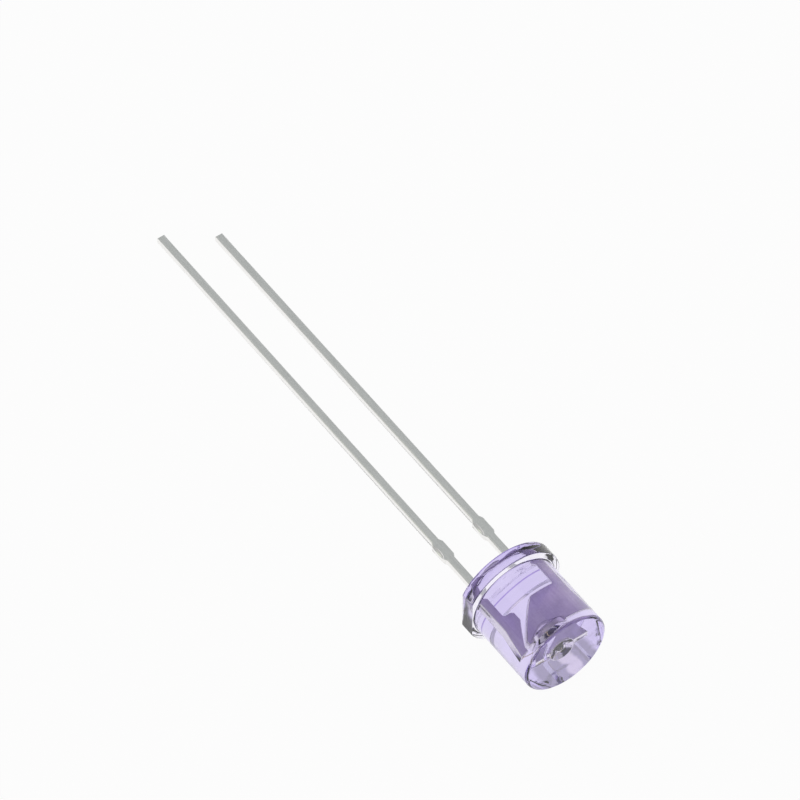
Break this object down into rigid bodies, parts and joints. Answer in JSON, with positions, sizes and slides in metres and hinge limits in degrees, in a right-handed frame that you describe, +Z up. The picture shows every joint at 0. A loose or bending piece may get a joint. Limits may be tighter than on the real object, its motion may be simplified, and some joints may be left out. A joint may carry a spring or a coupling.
{
  "type": "through hole led",
  "caption": "Flat topped through hole LED of clear violet tinted resin, with a flange and straight wire-like leads with stand-off stops, lying at rest.",
  "frame": {"origin": "middle of the flange's base, on the barrel's axis, in the plane of the two leads", "axes": "+X along the floor towards the lens, +Z up from the floor that the part lies on, +Y towards the short lead"},
  "size_m": [0.0342, 0.0056, 0.0059],
  "materials": {
    "resin": "clear violet tinted cast epoxy, polished by its mould",
    "lead_plating": "stamped steel with satin tin plating",
    "chip": "sawn semiconductor crystal with a metal contact on top",
    "attach": "silver filled epoxy adhesive, cured",
    "gold_wire": "drawn gold bond wire"
  },
  "bodies": {
    "root": {"epoxy_body": "resin", "anvil_lead": "lead_plating", "post_lead": "lead_plating", "led_chip": "chip", "die_attach": "attach", "bond_wire": "gold_wire"}
  },
  "joints": []
}
